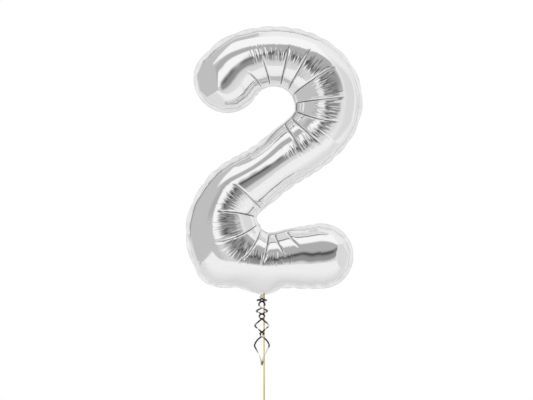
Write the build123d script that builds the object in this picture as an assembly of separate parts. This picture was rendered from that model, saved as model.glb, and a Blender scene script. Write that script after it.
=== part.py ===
from build123d import *

# A foil number balloon, the digit two, with a gold tether ribbon and a curled silver ribbon.
#
# Frame: millimetres. The origin is on the axis of the neck, where the ribbons are tied under the
# digit. +X is to the reader's right, +Y runs from the front face to the back face, +Z is up.
#
# The balloon is two foil sheets, heat-sealed face to face round their rim. Inflated, each is half
# of a round tube that follows the digit. Real foil is about 0.04 mm thick, and FOIL stands in for it.

import os
from math import acos, cos, pi, radians, sin, sqrt

FRONT = -1
BACK = 1

# Digit: its spine is an ellipse's arc for the bowl, a straight stroke, a circle's arc for the lower
# bend and a straight foot. The tube's half width, from the spine to the outer edge of the sealed
# rim, is given where it is widest or narrowest, and changes smoothly in between.
FOIL = 1.0                          # wall of each foil sheet
SEAM = 10.0                         # width of the sealed rim outside the tube
BOWL = (40, 624)                    # centre of the bowl's spine
BOWL_SIZE = (177, 159)              # half width and half height of its ellipse
HOOK_END = (150, 112)               # angle round the bowl, half width there
BOWL_TOP = (90, 101)
BOWL_SIDE = (10, 112)
BOWL_FOOT = (-55, 96)
STROKE_HALF = 95
BEND = (4, 246)                     # centre of the lower bend's spine
BEND_SIZE = (136, 136)
BEND_START = (135, 99)              # angle round the bend, half width there
BEND_CORNER = (220, 120)
BEND_END = (258, 103)
HEEL = (24, 111, 94)                # where the straight foot starts: x, z and half width
TOE = (193, 128, 108)

# Sections of the tube along each stretch of the spine.
BOWL_SECTIONS = 8
STROKE_SECTIONS = 2
BEND_SECTIONS = 6
FOOT_SECTIONS = 4

# Neck: the rim dips to a tip, and over it the sheets narrow into a gathered stem.
DIP = [(52, 27), (52, 24), (36, 11), (20, 3.5), (0, 1.2)]      # right half of the dip, x and z
NECK_R = 4.5
NECK_BOTTOM = -6.0
FUNNEL_BOTTOM = 9.0
FUNNEL_TOP = 40.0
FUNNEL_HALF = (38, 32)              # half width and half depth at its top

# Valve films: two strips side by side in the neck, open into the balloon.
FILM = 0.3
FILM_GAP = 0.2                      # from the middle plane to each film
FILM_OUTLINE = [(3, -4), (3, 11), (12, 32), (12, 86)]          # right half, x and z

# Filling tail: two plies, gathered in the stem's mouth and folded back and up under the belly.
TAIL_PLY = 0.4
TAIL_MOUTH = 0.4                    # gap between the plies, where the filling straw goes
TAIL_NARROW = 8.0
TAIL_WIDE = 24.0
TAIL_LENGTH = 56.0
TAIL_RISE = 42.0                    # degrees above level, as folded
TAIL_HINGE = (0, 5.8, -4.5)

# Ribbons are flat. Each is tied round the neck, with its knot in front.
RIBBON_W = 5.0
RIBBON_T = 0.4
TIE_W = 2.4
TIE_T = 1.0
TIE_CLEAR = 0.05                    # between the neck and the tie, pressed together in use
GAP = 0.3                           # between pieces that move against each other
GOLD_TIE_Z = -0.6
SILVER_TIE_Z = -3.6
KNOT_Y = -8.6
KNOT_Z = 1.0
GOLD_KNOT_X = 7.4
GOLD_KNOT_R = 3.4
SILVER_KNOT_R = 2.5

# Tether: it hangs taut and ends in a hand loop, whose point is held in the end knot.
END_KNOT_Z = -362.0
END_KNOT_R = 3.2
END_KNOT_H = 5.0
LOOP_R = 20.0
LOOP_POINT = 1.35                   # height of the loop's point over its centre, in radii
LOOP_LET_IN = 0.3                   # from the loop's inner point up to the end knot

# Curled tails of the silver ribbon: the outer shape of the two curls together, as z and radius.
CURL_BACK = -10.6                   # the curls' back, in y
CURL_RINGS = [(-2, 2), (-15, 13), (-30, 15), (-53, 19.5), (-95, 24.5), (-171, 26), (-215, 18), (-243, 5)]


def eased(start, end, share):
    """A value on the way from start to end, which changes slowest at both."""
    return start + (end - start) * (1 - cos(pi * share)) / 2


def width_at(angle, marks):
    """The half width at an angle, between the two marks on either side of it."""
    for (first, start), (last, end) in zip(marks, marks[1:]):
        share = (angle - first) / (last - first)
        if share <= 1:
            return eased(start, end, share)
    return marks[-1][1]


def arc_places(centre, size, marks, count):
    """Evenly spread places on an ellipse's arc, from the first mark to the last."""
    first = marks[0][0]
    span = marks[-1][0] - first
    places = []
    for number in range(count):
        angle = first + span * number / (count - 1)
        x = centre[0] + size[0] * cos(radians(angle))
        z = centre[1] + size[1] * sin(radians(angle))
        places.append((x, z, width_at(angle, marks)))
    return places


def between(start, end, share):
    """A place on the straight line from start to end, with its half width."""
    x = start[0] + (end[0] - start[0]) * share
    z = start[1] + (end[1] - start[1]) * share
    return x, z, eased(start[2], end[2], share)


def spine_places():
    """The spine from the hook's end to the toe, as x, z and the half width to the rim's edge."""
    bowl = arc_places(BOWL, BOWL_SIZE, [HOOK_END, BOWL_TOP, BOWL_SIDE, BOWL_FOOT], BOWL_SECTIONS)
    bend = arc_places(BEND, BEND_SIZE, [BEND_START, BEND_CORNER, BEND_END], BEND_SECTIONS)
    stroke = []
    for number in range(1, STROKE_SECTIONS + 1):
        x, z, _ = between(bowl[-1], bend[0], number / (STROKE_SECTIONS + 1))
        stroke.append((x, z, STROKE_HALF))
    foot = [between(HEEL, TOE, number / (FOOT_SECTIONS - 1)) for number in range(FOOT_SECTIONS)]
    return bowl + stroke + bend + foot


PLACES = spine_places()
SPINE = Spline(*[(x, 0, z) for x, z, _ in PLACES])
TANGENTS = [SPINE.tangent_at(SPINE.param_at_point(Vector(x, 0, z))) for x, z, _ in PLACES]


def across(x, z, along, side):
    """The plane square to the spine there: its x runs across the tube, its y out of that face."""
    depth = Vector(0, side, 0)
    return Plane(origin=(x, 0, z), x_dir=depth.cross(along), z_dir=depth.cross(along).cross(depth))


def sheet_section(rim):
    """Half a tube's wall with half of the sealed rim at both feet."""
    outer = rim - SEAM
    inner = outer - FOIL
    foot = sqrt(outer ** 2 - FOIL ** 2)
    return make_face([
        Line((rim, 0), (rim, FOIL)),
        Line((rim, FOIL), (foot, FOIL)),
        ThreePointArc((foot, FOIL), (0, outer), (-foot, FOIL)),
        Line((-foot, FOIL), (-rim, FOIL)),
        Line((-rim, FOIL), (-rim, 0)),
        Line((-rim, 0), (-inner, 0)),
        ThreePointArc((-inner, 0), (0, inner), (inner, 0)),
        Line((inner, 0), (rim, 0)),
    ])


def round_end(number, outward, side):
    """The quarter sphere with its rim that closes the tube at one end of the spine."""
    x, z, rim = PLACES[number]
    half = sheet_section(rim) & Pos(rim / 2, rim / 2) * Rectangle(rim, rim)
    turned = across(x, z, outward, side) * half
    return revolve(turned, Axis((x, 0, z), (0, side, 0)), -180)


def hollow_near_neck(side):
    """The room inside the tube along the lower bend and the foot, on one side."""
    first = len(PLACES) - FOOT_SECTIONS - BEND_SECTIONS // 2
    halves = []
    for (x, z, rim), along in list(zip(PLACES, TANGENTS))[first:]:
        inner = rim - SEAM - FOIL
        arch = ThreePointArc((inner, 0), (0, inner), (-inner, 0))
        halves.append(across(x, z, along, side) * make_face([arch, Line((-inner, 0), (inner, 0))]))
    return loft(halves)


def neck(inset):
    """The funnel and the stem under the belly, that far inside their outer surface."""
    top = Plane.XY.offset(FUNNEL_TOP) * Ellipse(FUNNEL_HALF[0] - inset, FUNNEL_HALF[1] - inset)
    bottom = Plane.XY.offset(FUNNEL_BOTTOM) * Circle(NECK_R - inset)
    stem = Plane.XY.offset(NECK_BOTTOM) * Circle(NECK_R - inset)
    return loft([bottom, top]) + extrude(stem, FUNNEL_BOTTOM - NECK_BOTTOM)


def upright(points, thickness, start, side):
    """A plate from its right half's outline, x and z, which begins that far out on one side."""
    outline = points + [(-x, z) for x, z in reversed(points) if x]
    face = Plane.XZ * make_face(Polyline(*outline, close=True))
    return Pos(0, side * start, 0) * extrude(face, thickness, dir=(0, side, 0))


def foil_panel(side):
    """One foil sheet: its half of the tube, the round ends, the rim's dip and half of the neck."""
    sections = [
        across(x, z, along, side) * sheet_section(rim) for (x, z, rim), along in zip(PLACES, TANGENTS)
    ]
    sheet = loft(sections) + round_end(0, -TANGENTS[0], side) + round_end(-1, TANGENTS[-1], side)
    half_space = Pos(0, side * FUNNEL_TOP, 0) * Box(*[2 * FUNNEL_TOP] * 3)
    half_neck = (neck(0) - neck(FOIL)) & half_space
    sheet += upright(DIP, FOIL, 0, side)
    return sheet - neck(FOIL) + (half_neck - hollow_near_neck(side))


def valve_film(side):
    """One strip of the valve, narrow in the neck and wide inside the digit."""
    return upright(FILM_OUTLINE, FILM, FILM_GAP, side)


def fill_tail():
    """The two plies as one piece, joined along both edges, gathered at the hinge."""
    half = TAIL_NARROW / 2
    wide = TAIL_WIDE / 2
    start = (half, 0)
    outline = Polyline(start, (wide, TAIL_LENGTH), (-wide, TAIL_LENGTH), (-half, 0), close=True)
    thick = 2 * TAIL_PLY + TAIL_MOUTH
    inside = Polyline(
        (half - 1, 4), (wide - 1, TAIL_LENGTH), (-wide + 1, TAIL_LENGTH), (1 - half, 4), close=True
    )
    body = extrude(make_face(outline), thick / 2, both=True)
    body -= extrude(make_face(inside), TAIL_MOUTH / 2, both=True)
    return Pos(*TAIL_HINGE) * Rot(TAIL_RISE, 0, 0) * Pos(0, 1.2, 0) * body


def tie(z):
    """A ribbon's turns round the neck."""
    inner = NECK_R + TIE_CLEAR
    band = extrude(Circle(inner + TIE_T) - Circle(inner), TIE_W / 2, both=True)
    return Pos(0, 0, z) * band


def tether_ribbon():
    """The tether's straight length, from under the gold knot to the end knot."""
    top = KNOT_Z - GOLD_KNOT_R - GAP
    bottom = END_KNOT_Z + END_KNOT_H / 2
    return Pos(GOLD_KNOT_X, KNOT_Y, (top + bottom) / 2) * Box(RIBBON_W, RIBBON_T, top - bottom)


def end_knot():
    knot = fillet(Cylinder(END_KNOT_R, END_KNOT_H).edges(), 0.9)
    return Pos(GOLD_KNOT_X, KNOT_Y, END_KNOT_Z) * knot


def drop(radius):
    """A circle with a point over it, as a face: the outline of a loop that hangs from a knot."""
    touch = acos(1 / LOOP_POINT)
    side = (radius * sin(touch), radius * cos(touch))
    point = (0, radius * LOOP_POINT)
    return Circle(radius) + make_face(Polyline(point, side, (-side[0], side[1]), close=True))


def hand_loop():
    """The tether's end, doubled back into the end knot. Its bore runs along X."""
    ring = drop(LOOP_R + RIBBON_T) - drop(LOOP_R)
    knot_foot = END_KNOT_Z - END_KNOT_H / 2
    centre_z = knot_foot - LOOP_R * LOOP_POINT - LOOP_LET_IN
    band = extrude(Plane.YZ * ring, RIBBON_W / 2, both=True)
    placed = Pos(GOLD_KNOT_X, KNOT_Y, centre_z) * band
    above = Pos(GOLD_KNOT_X, KNOT_Y, knot_foot + LOOP_R) * Box(4 * LOOP_R, 4 * LOOP_R, 2 * LOOP_R)
    return placed - above


def curl_tails():
    """The outer shape of the two curls, round in section, in front of the tether."""
    rings = [Pos(0, CURL_BACK - r, z) * Circle(r) for z, r in CURL_RINGS]
    return loft(rings, ruled=True)


os.makedirs("parts", exist_ok=True)

nodes = {
    "front_foil_panel": foil_panel(FRONT),
    "back_foil_panel": foil_panel(BACK),
    "front_valve_film": valve_film(FRONT),
    "back_valve_film": valve_film(BACK),
    "fill_tail": fill_tail(),
    "gold_tie": tie(GOLD_TIE_Z),
    "silver_tie": tie(SILVER_TIE_Z),
    "gold_knot": Pos(GOLD_KNOT_X, KNOT_Y, KNOT_Z) * Sphere(GOLD_KNOT_R),
    "silver_knot": Pos(0, KNOT_Y, KNOT_Z) * Sphere(SILVER_KNOT_R),
    "tether_ribbon": tether_ribbon(),
    "tether_end_knot": end_knot(),
    "tether_hand_loop": hand_loop(),
    "curled_tails": curl_tails(),
}

for name, shape in nodes.items():
    export_step(shape, f"parts/{name}.step")
    print(name, round(shape.volume, 1), shape.is_valid, len(shape.solids()))
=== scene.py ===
import math

import bmesh
import bpy
import numpy as np
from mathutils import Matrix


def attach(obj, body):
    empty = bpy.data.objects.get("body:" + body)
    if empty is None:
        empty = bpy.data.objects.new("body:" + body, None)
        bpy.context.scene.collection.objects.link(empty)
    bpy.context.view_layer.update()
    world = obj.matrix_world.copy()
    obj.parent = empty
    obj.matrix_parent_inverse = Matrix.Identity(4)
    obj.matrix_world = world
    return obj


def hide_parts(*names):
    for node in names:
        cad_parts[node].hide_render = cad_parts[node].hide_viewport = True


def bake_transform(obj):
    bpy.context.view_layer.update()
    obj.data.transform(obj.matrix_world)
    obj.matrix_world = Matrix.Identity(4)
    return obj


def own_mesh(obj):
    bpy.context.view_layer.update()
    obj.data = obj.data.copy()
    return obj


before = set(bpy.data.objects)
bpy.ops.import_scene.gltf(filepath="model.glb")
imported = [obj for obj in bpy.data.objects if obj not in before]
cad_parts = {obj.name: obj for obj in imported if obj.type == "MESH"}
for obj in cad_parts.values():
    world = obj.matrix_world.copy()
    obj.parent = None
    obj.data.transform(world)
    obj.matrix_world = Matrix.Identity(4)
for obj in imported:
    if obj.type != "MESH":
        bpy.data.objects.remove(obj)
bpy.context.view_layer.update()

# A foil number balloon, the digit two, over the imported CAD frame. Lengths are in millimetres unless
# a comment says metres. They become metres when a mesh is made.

MM = 0.001

# Spine of the digit: an ellipse's arc for the bowl, a straight stroke, a circle's arc for the lower
# bend and a straight foot. It is walked from the hook to the toe.
BOWL = (40, 624)
BOWL_SIZE = (177, 159)              # half width and half height of its ellipse
BEND = (4, 246)
BEND_SIZE = (136, 136)
HEEL = (24, 111)
TOE = (193, 128)
ARC_STEP = 20                       # degrees from one station of an arc to the next
STROKE_PARTS = 4
FOOT_PARTS = 3

# The sheet's half width on the left hand and on the right, from the spine to the rim's edge, and
# the crest's height over the seam, where the digit is widest or narrowest.
HOOK_MARK = (113, 107, 95)
TOP_MARK = (98, 100, 100)
SIDE_MARK = (115, 111, 100)
THROAT_MARK = (96, 102, 98)         # where the bowl runs out into the stroke
STROKE_MARK = (96, 88, 93)
BEND_MARK = (113, 92, 96)
CORNER_MARK = (118, 142, 104)
SOLE_MARK = (116, 98, 102)
HEEL_MARK = (94, 92, 99)
TOE_MARK = (106, 108, 84)
BOWL_MARKS = {150: HOOK_MARK, 90: TOP_MARK, 12: SIDE_MARK, -50: THROAT_MARK}    # by clock angle
BEND_MARKS = {135: BEND_MARK, 230: CORNER_MARK, 250: SOLE_MARK}
HOOK_REACH = 107                    # from the first place on the spine to the hook's end
TOE_REACH = 107

# The rim.
SEAM = 10.0                         # its width, outside of the bends
INNER_SEAM = 4.0                    # what shows of it inside the bends, where it is folded over
SCALLOP = 42.0                      # pitch of the scallops along it
SCALLOP_DEEP = 4.5
PUCKER_DEEP = 2.6                   # of the fold that runs in from each cusp between two scallops
NOTCH = 3.0                         # how far the outline draws in at each cusp
RIM_FADE = 35.0                     # half the stretch in which the rim narrows
PAINTED_RIM_GLOW = 0.62                     # painted glow that brightens the thin rim, which is no lamp
RIM_WAVE = 0.5                      # how far its edge waves in and out of flat
PAINTED_RIM_LINE = 0.55                     # darkness of the line painted where the film leaves the rim
PAINTED_EDGE_LINE = 0.40                    # and of the line painted along the cut edge
RIM_SHARES = (0.0, 0.15, 0.8, 1.0)  # its columns, as shares of its width from the film outwards
RIM_STRIPS = len(RIM_SHARES) - 1
BELLY_DEEP = 21.0                   # its dip over the neck
BELLY_HALF = 54.0                   # half the dip's width
END_FADE = 20.0                     # stretch at each end of the spine where the scallops fade out

# The gathered neck: height and half width, from the digit down to the mouth.
NECK_PROFILE = [(12, 9), (5, 8.4), (1, 5.2), (-4, 4.7), (-8, 6.6)]
NECK_ROWS = 12

# Creases on the inner side of each bend. They fan out from the bay: clock angle at the bay, clock
# angle at the far end, and how far over the crest they reach, as a share of the half width.
BOWL_CREASES = [(120, 130, -0.25), (100, 105, 0), (75, 75, 0.4), (55, 55, 0.55), (35, 30, 0.6),
                (5, 5, 0.5), (-25, -15, 0.45), (-45, -40, 0.4), (-60, -60, 0.2)]
BEND_CREASES = [(115, 130, 0.25), (160, 170, 0.2), (220, 205, 0.3), (260, 240, 0.2),
                (280, 270, 0.1), (290, 300, -0.05), (305, 315, -0.3)]

# Fine pleats over the crests: (first place along the spine, last place, side of the tube, how far
# over the crest, height).
PLEATS = [(100, 680, -1, -0.42, 1.0), (850, 1300, 1, -0.24, 0.8), (330, 660, -1, -0.30, 1.0)]

# The sheets' grid: distance between rows in the bends, and angles over the tube from seam to seam.
ROW_FINE = 1.2
ANGLES = np.linspace(-math.pi / 2, math.pi / 2, 85)

# Ribbons.
GOLD_X = 7.4                        # the tether hangs to the right of the neck
RIBBON_Y = -8.6                     # the knots' place, in front of it
RIBBON_WIDTH = 0.005                # metres
RIBBON_THICK = 0.0004               # metres
CUPPING = 0.6                       # of a ribbon's middle, in thicknesses
CURL_WIDTH = 0.005                  # metres
CURLS_APART = 3.2                   # the right tail hangs this far in front of the left one
CURL_TURN = (0.6, 1.0)              # share of each half turn in which its face turns over
CURL_TOP = -1.5                     # height at which both tails leave the knot
CURL_BACK = -10.9
# Its half turns, from the knot down: (drop, half width).
CURL_HALF_TURNS = [(11, 5), (8, 15), (21, 9.5), (21, 18), (14, 8), (46, 23), (13, 3.5), (95, 24.6)]

# Flat faces of the two rounded ends: (direction in degrees, distance of the upper edge from the end
# of the spine, steepness).
HOOK_FACES = [(180, 30, 1.25), (238, 46, 1.3)]
FOOT_FACES = [(-3, 40, 1.35), (52, 46, 1.3), (-52, 52, 1.2)]
FACE_TOP = 99                       # height over the seam where each face starts
FACE_ROUNDING = 2.5                 # softness of the edges between the faces
FACE_RADIUS = 125                   # reach of the faces from the end of the spine


# Cards of the studio, as the foil shows them: (tone, centre, half size, turn, softness), where a
# place is the slope of foil that mirrors it, to the right and up. Each lies over those before it.
CARDS = [
    (0.69, (0.02, 0.36), (0.48, 0.26), 0, 0.05),      # grey band over the shoulders
    (0.98, (-0.05, 0.84), (0.60, 0.33), 0, 0.05),     # overhead softbox
    (0.98, (-0.17, 0.14), (0.10, 0.17), 8, 0.03),     # window on the left
    (0.86, (1.05, 0.0), (0.45, 0.65), 0, 0.16),       # pale wall on the right
    (0.57, (0.13, 0.03), (0.20, 0.13), 25, 0.05),     # grey behind the camera
    (0.46, (0.17, 0.15), (0.24, 0.06), 32, 0.05),     # darker strip across it
    (0.27, (0.06, 0.09), (0.10, 0.025), 32, 0.03),    # its darkest part
]
BACK_CARDS = [
    (0.90, (0.0, -0.45), (0.70, 0.40), 0, 0.08),
    (0.96, (0.0, 0.50), (0.55, 0.16), 0, 0.05),
    (0.93, (0.22, 0.10), (0.12, 0.24), -10, 0.04),
    (0.50, (-0.12, 0.04), (0.20, 0.12), -25, 0.05),
]
OPEN_ROOM = 0.94                    # tone of the room outside of the cards
NEAR_CAMERA = 0.83                  # tone straight ahead of the foil
GREY_SIDE = 0.76                    # tone of the room's lower left side
GRAZING = 0.70                      # tone at the steepest slopes


# ---------------------------------------------------------------- camera

def add_camera():
    """A long lens, square on to the digit's front."""
    data = bpy.data.cameras.new("Camera")
    data.sensor_width = 36.0
    distance = 8.0
    view_width = 1.748
    data.lens = data.sensor_width * distance / view_width
    data.clip_end = 50.0
    camera = bpy.data.objects.new("Camera", data)
    camera.location = (0.0151, -distance, 0.3109)
    camera.rotation_euler = (math.radians(90), 0, 0)
    bpy.context.scene.collection.objects.link(camera)
    bpy.context.scene.camera = camera


# ---------------------------------------------------------------- meshes

def new_object(name, vertices, faces, materials, body, slots=None, painted_shades=None):
    """A smooth mesh that rides on a body, if one is named, with each face in a material slot. Painted
    shades say how dark each vertex is painted: painted shade where a crease closes the film in, standing
    for the film mirroring only itself there, and painted dark lines along the seam and the cut edge."""
    mesh = bpy.data.meshes.new(name)
    mesh.from_pydata([tuple(v) for v in vertices], [], [tuple(f) for f in faces])
    mesh.update()
    for material in materials:
        mesh.materials.append(material)
    if slots is not None:
        mesh.polygons.foreach_set("material_index", slots)
    if painted_shades is not None:
        # painted shade of each vertex: in the creases, and dark lines along the seam and the cut edge
        mesh.attributes.new("painted_shade", "FLOAT", "POINT").data.foreach_set("value", painted_shades)
    tidy = bmesh.new()
    tidy.from_mesh(mesh)
    bmesh.ops.remove_doubles(tidy, verts=tidy.verts, dist=1e-6)
    bmesh.ops.recalc_face_normals(tidy, faces=tidy.faces)
    tidy.to_mesh(mesh)
    tidy.free()
    mesh.polygons.foreach_set("use_smooth", [True] * len(mesh.polygons))
    made = bpy.data.objects.new(name, mesh)
    bpy.context.scene.collection.objects.link(made)
    if body:
        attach(made, body)
    return made


def grid_faces(rows, columns, first=0, closed=False):
    """Quads over a grid of vertices numbered row by row, closed across the columns if asked."""
    across = columns if closed else columns - 1
    faces = []
    for r in range(rows - 1):
        for c in range(across):
            a = first + r * columns + c
            b = first + r * columns + (c + 1) % columns
            faces.append((a, b, b + columns, a + columns))
    return faces


def natural_spline(places, values, at):
    """Read the natural cubic spline through values, one row per place, at other places."""
    gaps = np.diff(places)
    count = len(places)
    system = np.eye(count)
    load = np.zeros(values.shape)
    for i in range(1, count - 1):
        system[i, i - 1:i + 2] = gaps[i - 1], 2 * (gaps[i - 1] + gaps[i]), gaps[i]
        rise = (values[i + 1] - values[i]) / gaps[i] - (values[i] - values[i - 1]) / gaps[i - 1]
        load[i] = 6 * rise
    bending = np.linalg.solve(system, load)
    i = np.clip(np.searchsorted(places, at, side="right") - 1, 0, count - 2)
    after = (at - places[i])[..., None]
    before = (places[i + 1] - at)[..., None]
    gap = gaps[i][..., None]
    cubic = (bending[i] * before ** 3 + bending[i + 1] * after ** 3) / (6 * gap)
    start = (values[i] / gap - bending[i] * gap / 6) * before
    end = (values[i + 1] / gap - bending[i + 1] * gap / 6) * after
    return cubic + start + end


def smoothstep(low, high, x):
    """0 below low, 1 above high, and an even S between them."""
    t = np.clip((x - low) / (high - low), 0, 1)
    return t * t * (3 - 2 * t)


def route(points, steps):
    """Places along an open NURBS spline whose control points are given in millimetres."""
    curve = bpy.data.curves.new("route", "CURVE")
    curve.dimensions = "3D"
    spline = curve.splines.new("NURBS")
    spline.points.add(len(points) - 1)
    for control, place in zip(spline.points, points):
        control.co = (*(c * MM for c in place), 1)
    spline.order_u = 3
    spline.use_endpoint_u = True
    curve.resolution_u = steps
    holder = bpy.data.objects.new("route", curve)
    bpy.context.scene.collection.objects.link(holder)
    bpy.context.view_layer.update()
    mesh = bpy.data.meshes.new_from_object(holder)
    path = np.array([v.co[:] for v in mesh.vertices])
    bpy.data.objects.remove(holder)
    bpy.data.curves.remove(curve)
    bpy.data.meshes.remove(mesh)
    return path


def unit(vectors):
    """The same directions, each of length 1."""
    return vectors / np.maximum(np.linalg.norm(vectors, axis=-1, keepdims=True), 1e-12)


def flat_strip(name, path, across, width, thick, materials, body, closed=False):
    """A flat ribbon along a path, slightly cupped. Across is its width's direction at each point.
    The gathered foil over the neck is too creased to mirror ribbons, so they are kept out of it."""
    if closed:
        along = unit(np.roll(path, -1, axis=0) - np.roll(path, 1, axis=0))
    else:
        along = unit(np.gradient(path, axis=0))
    across = unit(across - (across * along).sum(-1, keepdims=True) * along)
    normal = np.cross(along, across)
    places = np.linspace(-1, 1, 5)
    section = [(c, -0.5 - CUPPING * (1 - c * c)) for c in places]
    section += [(c, 0.5 - CUPPING * (1 - c * c)) for c in places[::-1]]
    rings = [path + across * (width / 2 * c) + normal * (thick * h) for c, h in section]
    grid = np.stack(rings, axis=1)
    if closed:
        grid = np.concatenate([grid, grid[:1]])
    rows, count = grid.shape[:2]
    faces = grid_faces(rows, count, closed=True)
    if not closed:
        faces.append(tuple(range(count)))
        faces.append(tuple(range((rows - 1) * count, rows * count))[::-1])
    strip = new_object(name, grid.reshape(-1, 3), faces, materials, body)
    strip.visible_glossy = False
    return strip


# ---------------------------------------------------------------- ribbons

def add_tether(materials):
    """The gold ribbon hangs straight down to a knot, and ends in a loop for the hand."""
    top, bottom = -2.7, -359.5
    controls = [(GOLD_X, RIBBON_Y, top), (GOLD_X, RIBBON_Y, -120), (GOLD_X, RIBBON_Y, -240),
                (GOLD_X, RIBBON_Y, bottom)]
    path = route(controls, 20)
    share = np.linspace(0, 1, len(path))
    turn = np.radians(5 + 9 * np.sin(2 * math.pi * share + 0.6))
    across = np.stack([np.cos(turn), np.sin(turn), 0 * turn], axis=-1)
    tether = flat_strip("gold_tether", path, across, RIBBON_WIDTH, RIBBON_THICK, materials, "tether")
    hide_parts("tether_ribbon")
    knot = add_knot("tether_knot", (GOLD_X, RIBBON_Y, -362), 3.3, 3.0, materials, "tether")
    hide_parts("tether_end_knot")
    loop = add_hand_loop(materials)


def add_hand_loop(materials):
    """A drop-shaped loop of the same ribbon, flat to the hand that goes through it."""
    radius = 20.2
    centre = -391.8
    angles = np.radians(np.linspace(62, -242, 27))
    ring = [(GOLD_X, RIBBON_Y + radius * math.cos(a), centre + radius * math.sin(a)) for a in angles]
    top = (GOLD_X, RIBBON_Y, -363.5)
    path = route([top, *ring, top], 5)
    across = np.tile([1.0, 0, 0], (len(path), 1))
    loop = flat_strip("hand_loop", path, across, RIBBON_WIDTH, RIBBON_THICK, materials, "tether")
    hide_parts("tether_hand_loop")
    return loop


def add_knot(name, centre, radius, height, materials, body):
    """An overhand knot pulled tight, as a flat band on a three-lobed closed path."""
    t = np.linspace(0, 2 * math.pi, 72, endpoint=False)
    x = (np.sin(t) + 2 * np.sin(2 * t)) / 3
    z = (np.cos(t) - 2 * np.cos(2 * t)) / 3
    y = -np.sin(3 * t)
    shape = np.stack([x * radius * 0.72, y * radius * 0.42, z * height * 0.72], axis=-1)
    path = (shape + np.array(centre)) * MM
    across = np.stack([0.3 * x, 1 + 0 * t, 0.3 * z], axis=-1)
    return flat_strip(name, path, across, radius * 0.9 * MM, 0.8 * MM, materials, body, closed=True)


def add_tie(name, height, materials):
    """A single ring of ribbon round the neck, standing for its two turns."""
    t = np.linspace(0, 2 * math.pi, 64, endpoint=False)
    ripple = 5.15 + 0.12 * np.sin(9 * t)
    x = ripple * np.cos(t)
    y = ripple * np.sin(t)
    path = np.stack([x, y, height + 0.25 * np.sin(t)], axis=-1) * MM
    across = np.stack([0.15 * np.cos(t), 0.15 * np.sin(t), 1 + 0 * t], axis=-1)
    return flat_strip(name, path, across, 2.4 * MM, 0.7 * MM, materials, "balloon", closed=True)


def add_strap(name, start, end, materials):
    """The short length of ribbon from a tie to its knot."""
    middle = [(a + b) / 2 for a, b in zip(start, end)]
    path = route([start, middle, end], 8)
    across = np.tile([0, 0, 1.0], (len(path), 1))
    return flat_strip(name, path, across, 2.2 * MM, RIBBON_THICK, materials, "ribbon_knots")


def add_gold_end(materials):
    """The tether's first few millimetres, which come up over the knot before they hang down."""
    front = RIBBON_Y - 2.4
    path = route([(GOLD_X, RIBBON_Y, 2), (GOLD_X, RIBBON_Y, 7.5), (GOLD_X, front, 6.5),
                  (GOLD_X, front, 0), (GOLD_X, RIBBON_Y - 0.8, -3.4)], 8)
    across = np.tile([1.0, 0, 0], (len(path), 1))
    end = flat_strip("gold_end", path, across, RIBBON_WIDTH, RIBBON_THICK, materials, None)
    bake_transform(end)


def curl_path(side):
    """One curled tail: half turns in front of the tether, each with its own drop and width. The
    right one mirrors the left, and hangs in front of it."""
    drops, halves = np.array(CURL_HALF_TURNS, float).T
    ends = np.concatenate([[0], np.cumsum(drops)])
    crossings = np.arange(len(ends))
    phase = np.arange(0, len(drops) + 1e-6, 1 / 12)
    first_or_last = (phase < 1) | (phase >= len(drops) - 1)
    eased = np.floor(phase) + (phase - np.floor(phase)) ** np.where(first_or_last, 1.7, 1.0)
    fall = np.interp(eased, crossings, ends)
    wide_at = np.concatenate([[0], crossings[:-1] + 0.5, [crossings[-1]]])
    wide = np.interp(phase, wide_at, np.concatenate([[2], halves, [5]]))
    swing = np.sin(math.pi * phase)
    depth = np.cos(math.pi * phase)
    ahead = CURLS_APART * np.clip(phase, 0, 1) * (side > 0)
    y = CURL_BACK - wide * (1 - depth) - ahead
    path = route(np.stack([-wide * swing, y, CURL_TOP - fall], axis=-1).tolist(), 4)
    share = np.linspace(0, phase[-1], len(path))
    turned = np.floor(share) + smoothstep(*CURL_TURN, share - np.floor(share))
    angle = math.pi * turned
    radial = np.stack([-np.sin(angle), np.cos(angle), 0 * angle], axis=-1)
    across = np.cross(unit(np.gradient(path, axis=0)), radial)
    mirror = np.array([-side, 1, 1])
    return path * mirror, across * mirror


def add_curls(materials):
    """The silver ribbon's two tails, curled over a blade the opposite way to each other."""
    for name, side in (("left_curl", -1), ("right_curl", 1)):
        path, across = curl_path(side)
        curl = flat_strip(name, path, across, CURL_WIDTH, RIBBON_THICK, materials, "curls")
        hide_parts("curled_tails")
        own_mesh(curl)


def add_ties_and_knots(gold, silver):
    """Both ribbons' ties round the neck, and the knots in front of it with their short straps."""
    for name, node, height, ribbon, slot in (
        ("gold_wrap", "gold_tie", -0.6, gold, "gold_ribbon"),
        ("silver_wrap", "silver_tie", -3.6, silver, "silver_ribbon"),
    ):
        tie = add_tie(name, height, ribbon)
        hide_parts(node)
    for name, node, x, radius, ribbon, slot in (
        ("gold_bow_knot", "gold_knot", GOLD_X, 3.4, gold, "gold_ribbon"),
        ("silver_bow_knot", "silver_knot", 0, 2.5, silver, "silver_ribbon"),
    ):
        knot = add_knot(name, (x, RIBBON_Y, 1.0), radius, radius, ribbon, "ribbon_knots")
        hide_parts(node)
        strap = add_strap(name + "_strap", (0.55 * x, -5.9, 0.2), (0.9 * x, -8.2, 0.8), ribbon)
    add_gold_end(gold)


# ---------------------------------------------------------------- filling tail and valve

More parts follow.
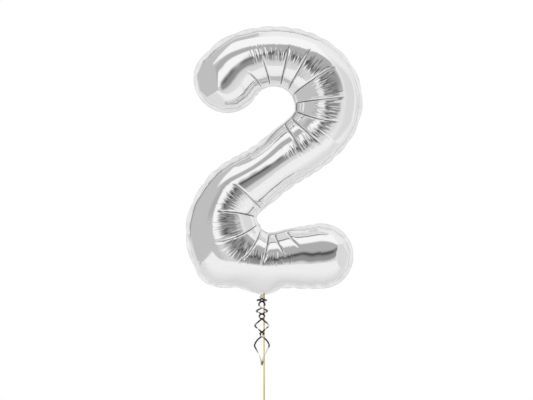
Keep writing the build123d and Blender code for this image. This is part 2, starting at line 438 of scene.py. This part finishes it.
def add_fill_tail(materials):
    """The flattened filling tail, pleated where it is gathered, folded back and up under the belly."""
    rise = math.radians(42)
    length = 56.0
    along = np.linspace(0, 1, 29)
    across = np.linspace(-1, 1, 49)
    t, c = np.meshgrid(along, across, indexing="ij")
    half = 4 + 8 * smoothstep(0, 0.55, t)
    pleat = 0.5 * (1 - 0.75 * t) * np.sin(19 * c) + 0.25 * np.sin(5 * c + 4 * t)
    sheets = []
    for ply in (-0.35, 0.35):
        lift = pleat + ply
        y = 6.2 + length * t * math.cos(rise) - lift * math.sin(rise)
        z = -4.5 + length * t * math.sin(rise) + lift * math.cos(rise)
        sheets.append(np.stack([half * c, y, z], axis=-1))
    grid = np.concatenate([sheets[0], sheets[1][:, ::-1]], axis=1)
    rows, columns = grid.shape[:2]
    faces = grid_faces(rows, columns, closed=True)
    tail = new_object("filling_tail", grid.reshape(-1, 3) * MM, faces, materials, "fill_tail")
    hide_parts("fill_tail")


def add_valve_films(materials):
    """Two clear strips inside the neck, open into the digit."""
    heights, halves = np.array([(-4, 3), (11, 3), (32, 12), (86, 12)], float).T
    for name, facing in (("front_valve", -1), ("back_valve", 1)):
        z, c = np.meshgrid(np.linspace(-4, 86, 46), np.linspace(-1, 1, 13), indexing="ij")
        half = np.interp(z, heights, halves)
        wave = 0.2 * np.sin(z / 9) * np.sin(3 * c) * smoothstep(11, 30, z)
        sheets = []
        for ply in (0.2, 0.45):
            y = facing * (ply + wave * facing)
            sheets.append(np.stack([half * c, y, z], axis=-1))
        grid = np.concatenate([sheets[0], sheets[1][:, ::-1]], axis=1)
        faces = grid_faces(grid.shape[0], grid.shape[1], closed=True)
        film = new_object(name, grid.reshape(-1, 3) * MM, faces, materials, "balloon")
        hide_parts(name + "_film")


# ---------------------------------------------------------------- foil panels

def blended(start, end, share):
    """Numbers on the way from one mark's to the next one's, which change slowest at both."""
    eased = (1 - math.cos(math.pi * share)) / 2
    return [a + (b - a) * eased for a, b in zip(start, end)]


def mark_at(marks, angle):
    """The mark for one clock angle, from those on either side of it."""
    angles = list(marks)
    for start, end in zip(angles, angles[1:]):
        if min(start, end) <= angle <= max(start, end):
            return blended(marks[start], marks[end], (angle - start) / (end - start))


def arc_stations(centre, size, marks):
    """Stations along an ellipse's arc, from its first mark's angle to its last."""
    first, *_, last = marks
    count = round(abs(last - first) / ARC_STEP)
    stations = []
    for angle in np.linspace(first, last, count + 1):
        x = centre[0] + size[0] * math.cos(math.radians(angle))
        z = centre[1] + size[1] * math.sin(math.radians(angle))
        stations.append([x, z, *mark_at(marks, angle)])
    return stations


def line_stations(start, end, parts):
    """Stations inside a straight stretch, from the place and mark at its start to those at its end."""
    stations = []
    for number in range(1, parts):
        share = number / parts
        place = [a + (b - a) * share for a, b in zip(start[:2], end[:2])]
        stations.append(place + blended(start[2:], end[2:], share))
    return stations


def spine_stations():
    """Each station's place along the spine, its x, z, two half widths and crest's height, and the
    places where the bowl ends and the lower bend starts."""
    bowl = arc_stations(BOWL, BOWL_SIZE, BOWL_MARKS)
    bend = arc_stations(BEND, BEND_SIZE, BEND_MARKS)
    middle = [(a + b) / 2 for a, b in zip(bowl[-1][:2], bend[0][:2])] + list(STROKE_MARK)
    upper = line_stations(bowl[-1], middle, STROKE_PARTS // 2)
    lower = line_stations(middle, bend[0], STROKE_PARTS // 2)
    heel = [*HEEL, *HEEL_MARK]
    toe = [*TOE, *TOE_MARK]
    foot = [heel, *line_stations(heel, toe, FOOT_PARTS), toe]
    values = np.array([*bowl, *upper, middle, *lower, *bend, *foot])
    steps = np.hypot(*np.diff(values[:, :2], axis=0).T)
    places = np.concatenate([[0], np.cumsum(steps)])
    return places, values, places[len(bowl) - 1], places[len(values) - len(foot) - len(bend)]


PLACES, STATIONS, BOWL_ENDS, BEND_STARTS = spine_stations()
LAST = PLACES[-1]
HALFWAY = (BOWL_ENDS + BEND_STARTS) / 2
NARROW_RIM = {1: (BEND_STARTS - 65, LAST - 65), -1: (85, BOWL_ENDS + 100)}     # on each side


def spine_frame(s):
    """Centre, direction, left-hand normal and the two half widths, at places s along the spine."""
    s = np.clip(s, 0, LAST)
    here = natural_spline(PLACES, STATIONS, s)
    step = 0.5
    low = natural_spline(PLACES, STATIONS, np.clip(s - step, 0, LAST))
    high = natural_spline(PLACES, STATIONS, np.clip(s + step, 0, LAST))
    along = high[..., :2] - low[..., :2]
    along /= np.linalg.norm(along, axis=-1, keepdims=True)
    left = np.stack([-along[..., 1], along[..., 0]], axis=-1)
    return here[..., :2], along, left, here[..., 2], here[..., 3]


def belly(s):
    """How far the lower rim dips over the neck."""
    x = natural_spline(PLACES, STATIONS, np.clip(s, 0, LAST))[..., 0]
    lobe = np.clip(1 - (x / BELLY_HALF) ** 2, 0, 1) ** 1.5
    return BELLY_DEEP * lobe * (s > BEND_STARTS)


def seam_width(s, side):
    """Width of the flat sealed rim: wide outside, narrow inside each bend and over the neck."""
    start, end = NARROW_RIM[side]
    inside = smoothstep(start - RIM_FADE, start + RIM_FADE, s)
    inside = inside * (1 - smoothstep(end - RIM_FADE, end + RIM_FADE, s))
    if side < 0:
        inside = inside + belly(s) / BELLY_DEEP
    return SEAM + (INNER_SEAM - SEAM) * inside


def on_open_rim(s, side):
    """1 where the rim is wide and open, and 0 inside the bends and at the spine's ends."""
    ends = smoothstep(0, END_FADE, s) * (1 - smoothstep(LAST - END_FADE, LAST, s))
    return ends * (seam_width(s, side) - INNER_SEAM) / (SEAM - INNER_SEAM)


def scallop_wave(s, side):
    """0 at each cusp of the rim's scallops and 1 half way between two."""
    return np.abs(np.sin(math.pi * (s / SCALLOP + 0.4 * np.sin(s / 57 + 2 * side))))


def scallop(s, side):
    """How far the film's edge draws in between two cusps of the rim."""
    uneven = 0.75 + 0.25 * np.sin(s / 83 + side)
    return SCALLOP_DEEP * uneven * scallop_wave(s, side) * on_open_rim(s, side)


def crest_height(s):
    """The crest's height over the seam, at places s along the spine."""
    return natural_spline(PLACES, STATIONS, np.clip(s, 0, LAST))[..., 4]


def places_facing(centre, angles, first, last):
    """Places on one stretch of the spine that lie in these clock directions from a point."""
    s = np.linspace(first, last, 400)
    x, z = (natural_spline(PLACES, STATIONS, s)[:, :2] - centre).T
    facing = np.degrees(np.unwrap(np.arctan2(z, x)))
    order = np.argsort(facing)
    return np.interp(angles, facing[order], s[order])


def crease_lines(creases, centre, first, last):
    """Each crease as its place at the inner edge, its place at the far end, and its reach."""
    at_bay, at_end, reach = np.array(creases, float).T
    near = places_facing(centre, at_bay, first, last)
    far = places_facing(centre, at_end, first, last)
    return list(zip(near, far, reach))


def tube_point(s, w):
    """Place on the smooth tube: w runs from -1 on the right seam to 1 on the left one."""
    centre, along, left, half_left, half_right = spine_frame(s)
    film_left = half_left - seam_width(s, 1)
    film_right = half_right - seam_width(s, -1)
    reach = np.where(w > 0, film_left, film_right) * w
    drawn_in = np.where(w > 0, scallop(s, 1), scallop(s, -1))
    reach = reach - np.sign(w) * drawn_in * np.abs(w) ** 10
    reach = reach - np.where(w < 0, belly(s), 0) * np.abs(w) ** 7
    depth = crest_height(s) * np.sqrt(np.clip(1 - w * w, 0, 1))
    flat = centre + left * reach[..., None]
    return np.stack([flat[..., 0], -depth, flat[..., 1]], axis=-1)


def mitred(s, w, creases, side):
    """Straighten the tube between its creases on the inner side of a bend, side -1 or 1."""
    smooth = tube_point(s, w)
    inner_w = w * side
    lines = []
    limits = []
    for at_edge, at_end, reach in creases:
        end_w = -reach
        share = np.clip((0.92 - inner_w) / (0.92 - end_w), 0, 1)
        lines.append(at_edge + (at_end - at_edge) * share)
        limits.append(np.full_like(w, end_w))
    blend = np.zeros_like(w)
    chord = smooth.copy()
    for k in range(len(lines) - 1):
        inside = (s >= lines[k]) & (s < lines[k + 1])
        f = np.clip((s - lines[k]) / (lines[k + 1] - lines[k]), 0, 1)[..., None]
        straight = (1 - f) * tube_point(lines[k], w) + f * tube_point(lines[k + 1], w)
        limit = (1 - f[..., 0]) * limits[k] + f[..., 0] * limits[k + 1]
        fade = smoothstep(0.0, 0.3, inner_w - limit)
        chord = np.where(inside[..., None], straight, chord)
        blend = np.where(inside, fade, blend)
    return smooth + (chord - smooth) * blend[..., None], lines, limits


def crease_depth(s, w, lines, limits, side):
    """Depth of the sharp valleys along the creases, and how closed each point's valley is, which sets the
    painted shade there.
    """
    total = np.zeros_like(w)
    painted_crease_shade = np.zeros_like(w)
    inner_w = w * side
    for line, limit in zip(lines, limits):
        fade = smoothstep(-0.05, 0.35, inner_w - limit) * (1 - smoothstep(0.93, 1.0, inner_w))
        away = np.abs(s - line)
        total -= fade * (2.4 * np.exp(-away / 2.4) + 1.6 * np.clip(1 - away / 7, 0, 1))
        painted_crease_shade = np.maximum(painted_crease_shade, fade * np.exp(-(away / 1.8) ** 2))
    return total, painted_crease_shade


def pleats(s, w, first, last, side, limit_w, seed):
    """Fine pinched pleats over the crest of a bend, each a lens with pointed ends."""
    rng = np.random.default_rng(seed)
    total = np.zeros_like(w)
    inner_w = w * side
    place = first
    while place < last:
        place += rng.uniform(3.2, 5.6)
        middle = limit_w + rng.uniform(0.1, 0.62)
        half_length = rng.uniform(0.10, 0.34)
        height = rng.uniform(0.35, 0.75) * rng.choice([-1, 1])
        wide = rng.uniform(1.4, 2.0)
        lean = rng.uniform(-8, 8)
        rows = np.where(np.abs(s[:, 0] - place) < 14)[0]
        across = inner_w[rows] - middle
        lens = np.clip(1 - (across / half_length) ** 2, 0, 1)
        offset = s[rows] - place - lean * across
        total[rows] += height * lens * np.exp(-(offset / wide) ** 2)
    edge = smoothstep(first - 5, first + 25, s) * (1 - smoothstep(last - 25, last + 5, s))
    return total * edge


def swells(s, w, seed):
    """Long, low unevenness of the film between its folds."""
    rng = np.random.default_rng(seed)
    total = np.zeros_like(w)
    for _ in range(14):
        pitch = rng.uniform(45, 150)
        turn = rng.uniform(-2.5, 2.5)
        phase = rng.uniform(0, 2 * math.pi)
        total += rng.uniform(0.02, 0.09) * np.sin(2 * math.pi * s / pitch + turn * w * 2 + phase)
    return total


def rim_puckers(s, w):
    """Short folds that run in from the rim's cusps, deepest at the seam."""
    total = np.zeros_like(w)
    for side in (-1, 1):
        outside = (seam_width(s, side) - INNER_SEAM) / (SEAM - INNER_SEAM)
        length = 0.10 + 0.08 * np.sin(s / 31 + side)
        near = smoothstep(0, 1, (w * side - 0.99 + length) / length)
        total -= PUCKER_DEEP * outside * near * (1 - scallop_wave(s, side)) ** 3
    return total


def push_out(points, amount):
    """Move a grid of points along its own normals."""
    along = np.gradient(points, axis=0)
    across = np.gradient(points, axis=1)
    normal = np.cross(along, across)
    size = np.linalg.norm(normal, axis=-1, keepdims=True)
    normal = normal / np.maximum(size, 1e-9)
    outward = np.where(normal[..., 1:2] > 0, -normal, normal)
    return points + outward * amount[..., None]


def tube_rows():
    """Places of the rows: close together in the bends, wider apart in the straights."""
    rows = [0.0]
    while rows[-1] < LAST:
        s = rows[-1]
        bend = 50 < s < BOWL_ENDS + 100 or BEND_STARTS - 30 < s < LAST - 50
        rows.append(s + (ROW_FINE if bend else 2 * ROW_FINE))
    rows[-1] = LAST
    return np.array(rows)


def tube_part(seed):
    """One sheet's tube without its ends: the rows' places, the points, and the painted shade each gets in
    the creases.
    """
    rows = tube_rows()
    s, angle = np.meshgrid(rows, ANGLES, indexing="ij")
    w = np.sin(angle)
    bowl_creases = crease_lines(BOWL_CREASES, BOWL, 0, HALFWAY)
    bend_creases = crease_lines(BEND_CREASES, BEND, HALFWAY, LAST)
    upper, upper_lines, upper_limits = mitred(s, w, bowl_creases, -1)
    lower, lower_lines, lower_limits = mitred(s, w, bend_creases, 1)
    points = np.where((s < HALFWAY)[..., None], upper, lower)
    ends = smoothstep(0, 30, s) * (1 - smoothstep(LAST - 30, LAST, s))
    amount, painted_crease_shade = crease_depth(s, w, upper_lines, upper_limits, -1)
    lower_amount, lower_painted_crease_shade = crease_depth(s, w, lower_lines, lower_limits, 1)
    amount += lower_amount
    painted_crease_shade = np.maximum(painted_crease_shade, lower_painted_crease_shade)
    for number, (first, last, side, over, height) in enumerate(PLEATS):
        amount += height * pleats(s, w, first, last, side, over, seed + number)
    amount += swells(s, w, seed + len(PLEATS))
    inside = np.sqrt(np.clip(1 - w * w, 0, 1))
    amount *= np.minimum(1, inside * 8)
    amount += rim_puckers(s, w) * np.minimum(1, inside * 6)
    return s, push_out(points, amount * ends), painted_crease_shade


def flatten_end(points, centre, faces):
    """Press the flat faces into a rounded end, with softly rounded edges between them."""
    depth = -points[..., 1]
    offset = points[..., [0, 2]] - centre
    near = np.linalg.norm(offset, axis=-1) < FACE_RADIUS
    for direction, start, steep in faces:
        a = math.radians(direction)
        along = offset @ np.array([math.cos(a), math.sin(a)])
        plane = FACE_TOP - steep * (along - start)
        low = np.minimum(depth, plane)
        soft = np.log1p(np.exp(-np.abs(depth - plane) / FACE_ROUNDING)) * FACE_ROUNDING
        pressed = np.maximum(low - soft, np.minimum(depth, 0.2))
        fade = smoothstep(0, 12, depth)
        depth = np.where(near, depth + (pressed - depth) * fade, depth)
    return np.stack([points[..., 0], -depth, points[..., 2]], axis=-1)


def press_ends(points):
    """Press the flat faces into the hook's end and the toe."""
    hook = STATIONS[0, :2]
    foot = STATIONS[-1, :2]
    return flatten_end(flatten_end(points, hook, HOOK_FACES), foot, FOOT_FACES)


def rim_columns(s, side, facing):
    """The flat rim outside the film on one side of the tube, as columns of points."""
    centre, along, left, half_left, half_right = spine_frame(s)
    half = half_left if side > 0 else half_right + belly(s)
    width = seam_width(s, side)
    notch = NOTCH * on_open_rim(s, side) * (1 - scallop_wave(s, side))
    columns = []
    for share in RIM_SHARES:
        reach = half - (width + scallop(s, side)) * (1 - share) - notch * share
        wave = RIM_WAVE * share * np.sin(math.pi * s / SCALLOP)
        flat = centre + left * (side * reach)[..., None]
        columns.append(np.stack([flat[..., 0], facing * wave - 0.2, flat[..., 1]], axis=-1))
    return columns


def cap_part(end, facing):
    """The rounded end of the tube, as a fan of rings that meets the tube's last row."""
    s = np.array(0.0 if end < 0 else LAST)
    centre, along, left, half_left, half_right = spine_frame(s)
    outward = along * end
    reach = HOOK_REACH if end < 0 else TOE_REACH
    rings = np.sin(ANGLES[len(ANGLES) // 2:])
    turns = np.linspace(-math.pi / 2, math.pi / 2, 61)
    turn, ring = np.meshgrid(turns, rings, indexing="ij")
    side_half = np.where(turn > 0, half_left, half_right)
    mix = np.sin(turn) ** 2
    radius = side_half * mix + reach * (1 - mix)
    drawn_in = SCALLOP_DEEP * np.abs(np.sin(6 * (turn + math.pi / 2))) * ring ** 10
    film = radius - SEAM
    direction = outward * np.cos(turn)[..., None] + left * np.sin(turn)[..., None]
    flat = centre + direction * (film * ring - drawn_in)[..., None]
    fall = (ring * np.sin(turn)) ** 2 + np.cos(turn) ** 2 * ring ** 4
    depth = crest_height(s) * np.sqrt(np.clip(1 - fall, 0, 1))
    points = np.stack([flat[..., 0], -depth, flat[..., 1]], axis=-1)
    rim = []
    for share in RIM_SHARES:
        reach_to = radius[:, 0] - (SEAM + drawn_in[:, -1]) * (1 - share)
        wave = RIM_WAVE * share * np.sin(math.pi * float(s) / SCALLOP) * np.sin(turn[:, 0]) ** 2
        flat_rim = centre + direction[:, 0] * reach_to[:, None]
        rim.append(np.stack([flat_rim[..., 0], facing * wave - 0.2, flat_rim[..., 1]], axis=-1))
    return np.concatenate([points, np.stack(rim[1:], axis=1)], axis=1)


def neck_bulge():
    """The puffed-out neck between the digit and the tie, gathered into small pleats."""
    angles = np.linspace(0, math.pi, 97)
    heights, halves = np.array(NECK_PROFILE, float).T
    levels = np.linspace(heights[0], heights[-1], NECK_ROWS)
    rows = []
    for z, half in zip(levels, natural_spline(-heights, halves[:, None], -levels)[:, 0]):
        gather = 1 - smoothstep(2, 12, z)
        pleat = 1 + 0.09 * gather * np.sin(15 * angles) + 0.04 * gather * np.sin(27 * angles + 1)
        x = half * np.cos(angles) * pleat
        y = -half * np.sin(angles) * pleat
        rows.append(np.stack([x, y, np.full_like(x, z)], axis=-1))
    return np.array(rows)


def painted_fold_shades(shape, rim_first, rim_last, creased):
    """How dark each point is painted: painted shade in its creases, and painted dark lines where the film
    meets the rim and along the cut edge.
    """
    shade = np.zeros(shape)
    shade[:, rim_first:shape[1] - rim_last] = creased
    if rim_last:
        shade[:, -1 - rim_last] = PAINTED_RIM_LINE
        shade[:, -1] = PAINTED_EDGE_LINE
    if rim_first:
        shade[:, rim_first] = PAINTED_RIM_LINE
        shade[:, 0] = PAINTED_EDGE_LINE
    return shade


def add_panel(name, facing, seed, materials):
    """One foil sheet: the tube, both ends, the rim and its half of the neck."""
    s, tube, painted_crease_shade = tube_part(seed)
    left_rim = rim_columns(s[:, 0], 1, facing)
    right_rim = rim_columns(s[:, 0], -1, facing)
    columns = right_rim[:0:-1] + [tube[:, c] for c in range(tube.shape[1])] + left_rim[1:]
    tube_sheet = press_ends(np.stack(columns, axis=1))
    caps = [press_ends(cap_part(end, facing)) for end in (-1, 1)]
    sheets = [tube_sheet, *caps, neck_bulge()]
    rims = [(RIM_STRIPS, RIM_STRIPS), (0, RIM_STRIPS), (0, RIM_STRIPS), (0, 0)]
    vertices = []
    faces = []
    slots = []
    painted_shades = []
    for sheet, (rim_first, rim_last) in zip(sheets, rims):
        creased = painted_crease_shade if sheet is tube_sheet else 0
        painted_shades += painted_fold_shades(sheet.shape[:2], rim_first, rim_last, creased).ravel().tolist()
        rows, across = sheet.shape[:2]
        faces += grid_faces(rows, across, first=len(vertices))
        columns = np.arange(across - 1)
        in_rim = (columns < rim_first) | (columns >= across - 1 - rim_last)
        slots += np.tile(in_rim.astype(int), rows - 1).tolist()
        flat = sheet.reshape(-1, 3) * MM
        flat[:, 1] *= facing
        vertices += flat.tolist()
    panel = new_object(name, vertices, faces, materials, "balloon", slots, painted_shades)
    return panel


# ---------------------------------------------------------------- materials

def principled(name, colour, metallic, roughness):
    """A new material with one principled shader."""
    material = bpy.data.materials.new(name)
    material.use_nodes = True
    shader = material.node_tree.nodes["Principled BSDF"]
    shader.inputs["Base Color"].default_value = (*colour, 1)
    shader.inputs["Metallic"].default_value = metallic
    shader.inputs["Roughness"].default_value = roughness
    return material


def foil_material():
    """Bright mirror film, its colour darkened by painted shade where a crease closes it in, and by
    painted dark lines at the seam and the cut edge.
    """
    material = principled("silver foil", (0.96, 0.96, 0.96), 1.0, 0.07)
    nodes, links = material.node_tree.nodes, material.node_tree.links
    # painted shade darkens the film's colour in the creases and along the seam and the cut edge
    painted_shade = nodes.new("ShaderNodeAttribute")
    painted_shade.attribute_name = "painted_shade"
    shade = nodes.new("ShaderNodeMix")
    shade.data_type = "RGBA"
    shade.inputs["A"].default_value = (0.96, 0.96, 0.96, 1)
    shade.inputs["B"].default_value = (0.12, 0.12, 0.12, 1)
    links.new(painted_shade.outputs["Fac"], shade.inputs["Factor"])
    links.new(shade.outputs["Result"], nodes["Principled BSDF"].inputs["Base Color"])
    return material


def ribbon_material(name, dark, light, metallic, roughness):
    """Metallised plastic ribbon with fine lengthwise streaks, and the nodes that choose its tone."""
    material = principled(name, dark, metallic, roughness)
    nodes, links = material.node_tree.nodes, material.node_tree.links
    place = nodes.new("ShaderNodeTexCoord")
    streaks = nodes.new("ShaderNodeTexNoise")
    streaks.inputs["Scale"].default_value = 300.0
    links.new(place.outputs["Object"], streaks.inputs["Vector"])
    bump = nodes.new("ShaderNodeBump")
    bump.inputs["Strength"].default_value = 0.06
    bump.inputs["Distance"].default_value = 0.0001
    links.new(streaks.outputs["Fac"], bump.inputs["Height"])
    links.new(bump.outputs["Normal"], nodes["Principled BSDF"].inputs["Normal"])
    ramp = nodes.new("ShaderNodeValToRGB")
    ramp.color_ramp.elements[0].color = (*dark, 1)
    ramp.color_ramp.elements[1].color = (*light, 1)
    links.new(ramp.outputs["Color"], nodes["Principled BSDF"].inputs["Base Color"])
    return material, place, ramp


def gold_material():
    """Yellow gold, which pales and deepens again down its length."""
    deep, pale = (0.85, 0.52, 0.01), (1.0, 0.84, 0.22)
    material, place, ramp = ribbon_material("gold ribbon", deep, pale, 0.0, 0.5)
    nodes, links = material.node_tree.nodes, material.node_tree.links
    wave = nodes.new("ShaderNodeTexWave")
    wave.bands_direction = "Z"
    wave.inputs["Scale"].default_value = 1.0
    links.new(place.outputs["Object"], wave.inputs["Vector"])
    links.new(wave.outputs["Fac"], ramp.inputs["Fac"])
    return material


def silver_material():
    """Silver mirror ribbon with painted colour: dark, a painted reflection of dark surroundings, with
    painted highlights in bright patches that noise sets along it.
    """
    dark, painted_highlight_tone = (0.035, 0.035, 0.04), (0.85, 0.85, 0.87)
    material, place, ramp = ribbon_material("silver ribbon", dark, painted_highlight_tone, 0.9, 0.2)
    nodes, links = material.node_tree.nodes, material.node_tree.links
    # painted highlights: noise sets bright patches over the dark painted reflection
    painted_highlight_noise = nodes.new("ShaderNodeTexNoise")
    painted_highlight_noise.inputs["Scale"].default_value = 34.0
    painted_highlight_noise.inputs["Detail"].default_value = 0.0
    links.new(place.outputs["Object"], painted_highlight_noise.inputs["Vector"])
    links.new(painted_highlight_noise.outputs["Fac"], ramp.inputs["Fac"])
    ramp.color_ramp.elements[0].position = 0.54
    ramp.color_ramp.elements[1].position = 0.70
    return material


def film_material():
    """Clear valve film, a little milky."""
    material = principled("valve film", (0.93, 0.95, 0.96), 0.0, 0.3)
    material.node_tree.nodes["Principled BSDF"].inputs["Transmission Weight"].default_value = 0.6
    return material


def seam_material():
    """The heat-sealed rim, brightened by a painted glow that is mottled at random like the marks of the
    sealing bar, and darkened along the painted lines at the seam and the cut edge.
    """
    material = principled("sealed foil rim", (0.3, 0.3, 0.3), 0.0, 0.5)
    nodes, links = material.node_tree.nodes, material.node_tree.links
    place = nodes.new("ShaderNodeTexCoord")
    mottle = nodes.new("ShaderNodeTexNoise")
    mottle.inputs["Scale"].default_value = 45.0
    links.new(place.outputs["Object"], mottle.inputs["Vector"])
    ramp = nodes.new("ShaderNodeValToRGB")
    ramp.color_ramp.elements[0].position = 0.35
    ramp.color_ramp.elements[0].color = (0.86, 0.86, 0.86, 1)
    ramp.color_ramp.elements[1].position = 0.65
    ramp.color_ramp.elements[1].color = (1.0, 1.0, 1.0, 1)
    links.new(mottle.outputs["Fac"], ramp.inputs["Fac"])
    # the painted dark lines at the seam and the cut edge darken the painted glow
    painted_shade = nodes.new("ShaderNodeAttribute")
    painted_shade.attribute_name = "painted_shade"
    shade = nodes.new("ShaderNodeMix")
    shade.data_type = "RGBA"
    shade.inputs["B"].default_value = (0.05, 0.05, 0.05, 1)
    links.new(painted_shade.outputs["Fac"], shade.inputs["Factor"])
    links.new(ramp.outputs["Color"], shade.inputs["A"])
    shader = nodes["Principled BSDF"]
    # the painted glow of the rim, mottled by the noise
    links.new(shade.outputs["Result"], shader.inputs["Emission Color"])
    shader.inputs["Emission Strength"].default_value = PAINTED_RIM_GLOW
    return material


# ---------------------------------------------------------------- studio

def linear(tone):
    """Scene-linear value of a display tone."""
    return tone / 12.92 if tone <= 0.04045 else ((tone + 0.055) / 1.055) ** 2.4


class StudioNodes:
    """Small arithmetic helpers over a world's node tree."""

    def __init__(self, tree):
        self.tree = tree

    def math(self, operation, a, b=0.0, clamp=False):
        """A math node's output, from numbers or other outputs."""
        node = self.tree.nodes.new("ShaderNodeMath")
        node.operation = operation
        node.use_clamp = clamp
        for socket, value in zip(node.inputs, (a, b)):
            if isinstance(value, (int, float)):
                socket.default_value = value
            else:
                self.tree.links.new(value, socket)
        return node.outputs[0]

    def step(self, value, edge, soft):
        """0 below the edge and 1 above it, with a soft change."""
        node = self.tree.nodes.new("ShaderNodeMapRange")
        node.interpolation_type = "SMOOTHSTEP"
        self.tree.links.new(value, node.inputs["Value"])
        node.inputs["From Min"].default_value = edge - soft
        node.inputs["From Max"].default_value = edge + soft
        return node.outputs[0]

    def card(self, u, v, centre, half, turn, soft):
        """Mask of a soft-edged rectangle."""
        c, s = math.cos(math.radians(turn)), math.sin(math.radians(turn))
        du = self.math("SUBTRACT", u, centre[0])
        dv = self.math("SUBTRACT", v, centre[1])
        x = self.math("ADD", self.math("MULTIPLY", du, c), self.math("MULTIPLY", dv, s))
        y = self.math("SUBTRACT", self.math("MULTIPLY", dv, c), self.math("MULTIPLY", du, s))
        mask = None
        for value, size in ((x, half[0]), (y, half[1])):
            far = self.step(self.math("ABSOLUTE", value), size, soft)
            near = self.math("SUBTRACT", 1.0, far)
            mask = near if mask is None else self.math("MULTIPLY", mask, near)
        return mask

    def mix(self, below, tone, mask):
        """Put a tone over what is below, where the mask is."""
        keep = self.math("MULTIPLY", below, self.math("SUBTRACT", 1.0, mask))
        return self.math("ADD", keep, self.math("MULTIPLY", mask, linear(tone)))


def mirrored_slope(kit, side, height, facing):
    """The slope of foil, to the right and up, that mirrors a direction to the viewer."""
    spread = kit.math("MAXIMUM", kit.math("ADD", 1.0, facing), 0.02)
    return kit.math("DIVIDE", side, spread), kit.math("DIVIDE", height, spread)


def room_tone(kit, u, v):
    """Tone of the room on the viewer's side, from its walls to its cards."""
    to_left = kit.step(kit.math("MULTIPLY", u, -1.0), 0.20, 0.08)
    above = kit.step(kit.math("SUBTRACT", v, kit.math("MULTIPLY", u, 1.1)), 0.0, 0.10)
    slope = kit.math("SQRT", kit.math("ADD", kit.math("MULTIPLY", u, u), kit.math("MULTIPLY", v, v)))
    ahead = kit.math("SUBTRACT", 1.0, kit.step(slope, 0.45, 0.35))
    tone = kit.mix(linear(OPEN_ROOM), NEAR_CAMERA, ahead)
    tone = kit.mix(tone, GREY_SIDE, kit.math("MULTIPLY", above, to_left))
    for level, centre, half, turn, soft in CARDS:
        tone = kit.mix(tone, level, kit.card(u, v, centre, half, turn, soft))
    return kit.mix(tone, GRAZING, kit.step(slope, 2.6, 1.0))


def add_studio():
    """A white room seen by the camera, with soft cards that only the foil and ribbons mirror."""
    world = bpy.data.worlds.new("studio")
    bpy.context.scene.world = world
    world.use_nodes = True
    tree = world.node_tree
    kit = StudioNodes(tree)
    where = tree.nodes.new("ShaderNodeTexCoord")
    split = tree.nodes.new("ShaderNodeSeparateXYZ")
    tree.links.new(where.outputs["Generated"], split.inputs[0])
    dx, dy, dz = split.outputs
    u, v = mirrored_slope(kit, dx, dz, kit.math("MULTIPLY", dy, -1.0))
    tone = room_tone(kit, u, v)
    behind = kit.step(dy, 0.65, 0.15)
    u, v = mirrored_slope(kit, dx, dz, dy)
    for level, centre, half, turn, soft in BACK_CARDS:
        mask = kit.card(u, v, centre, half, turn, soft)
        tone = kit.mix(tone, level, kit.math("MULTIPLY", mask, behind))
    paths = tree.nodes.new("ShaderNodeLightPath")
    seen = kit.mix(tone, 1.0, paths.outputs["Is Camera Ray"])
    tree.links.new(seen, tree.nodes["Background"].inputs["Color"])


def add_key_light():
    """A broad soft light from over the camera, for the pieces that scatter light."""
    light = bpy.data.lights.new("key", "SUN")
    light.energy = 0.75
    light.angle = math.radians(60)
    key = bpy.data.objects.new("key", light)
    key.rotation_euler = (math.radians(48), 0, math.radians(-18))
    key.visible_glossy = False
    bpy.context.scene.collection.objects.link(key)


def add_floor():
    """A pale floor under the hand loop, lit by a painted glow that is strongest at the front and fades
    out toward the back.
    """
    half = 1.5
    height = -0.50
    mesh = bpy.data.meshes.new("floor")
    corners = [(-half, -half, height), (half, -half, height), (half, half, height), (-half, half, height)]
    mesh.from_pydata(corners, [], [(0, 1, 2, 3)])
    pale = principled("pale floor", (0.84, 0.84, 0.84), 0.0, 0.6)
    nodes, links = pale.node_tree.nodes, pale.node_tree.links
    place = nodes.new("ShaderNodeTexCoord")
    split = nodes.new("ShaderNodeSeparateXYZ")
    links.new(place.outputs["Object"], split.inputs[0])
    # painted light: the floor glows most at the front and not at all at the back
    back = nodes.new("ShaderNodeMapRange")
    back.interpolation_type = "SMOOTHSTEP"
    back.inputs["From Min"].default_value = -0.55
    back.inputs["From Max"].default_value = 0.30
    back.inputs["To Min"].default_value = 0.15
    back.inputs["To Max"].default_value = 0.0
    links.new(split.outputs["Y"], back.inputs["Value"])
    shader = nodes["Principled BSDF"]
    shader.inputs["Emission Color"].default_value = (1, 1, 1, 1)
    links.new(back.outputs["Result"], shader.inputs["Emission Strength"])
    mesh.materials.append(pale)
    floor = bpy.data.objects.new("floor", mesh)
    bpy.context.scene.collection.objects.link(floor)


add_camera()
gold_ribbon = [gold_material()]
silver_ribbon = [silver_material()]
add_tether(gold_ribbon)
add_curls(silver_ribbon)
add_ties_and_knots(gold_ribbon, silver_ribbon)
foil = [foil_material(), seam_material()]
front = add_panel("front_foil", 1, 11, foil)
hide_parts("front_foil_panel")
back = add_panel("back_foil", -1, 47, foil)
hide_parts("back_foil_panel")
add_fill_tail(foil)
add_valve_films([film_material()])
add_studio()
add_key_light()
add_floor()
bpy.context.scene.view_settings.view_transform = "Standard"
